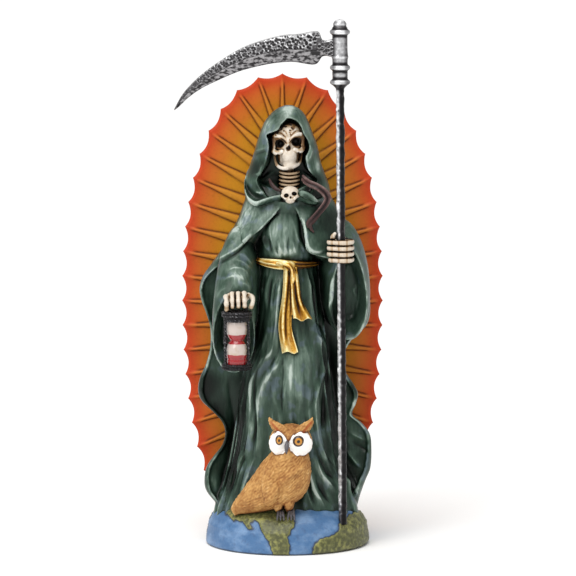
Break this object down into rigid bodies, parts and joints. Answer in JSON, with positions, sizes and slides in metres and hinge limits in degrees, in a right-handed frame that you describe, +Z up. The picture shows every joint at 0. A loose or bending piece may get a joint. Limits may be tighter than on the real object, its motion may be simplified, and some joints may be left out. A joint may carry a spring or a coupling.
{
  "type": "santa muerte figure",
  "caption": "Painted resin figurine of a hooded, robed skeleton on a globe base, with a scythe, an hourglass, an owl at its feet and a scalloped panel of rays behind.",
  "frame": {"origin": "the middle of the base's underside, on the surface that it stands on", "axes": "+Z up, the figure faces -Y, +X to the viewer's right, on the side of the scythe"},
  "size_m": [0.1189, 0.0988, 0.302],
  "materials": {
    "painted_sea": "blue paint with olive-green land, thin gloss",
    "painted_rays": "orange paint that runs from red at the edge to ochre inside, satin",
    "painted_robe": "dark green paint with pale dry-brushed folds, satin; bone and gold paint on the skull, hands and sash",
    "painted_glass": "black frame, white and red painted bulbs, gloss",
    "silver_paint": "silver paint with a black wash, satin",
    "painted_feathers": "ochre and tan paint, matt"
  },
  "bodies": {
    "root": {"globe_base": "painted_sea", "ray_panel": "painted_rays", "robed_figure": "painted_robe", "hourglass": "painted_glass", "scythe": "silver_paint", "owl": "painted_feathers"}
  },
  "joints": []
}
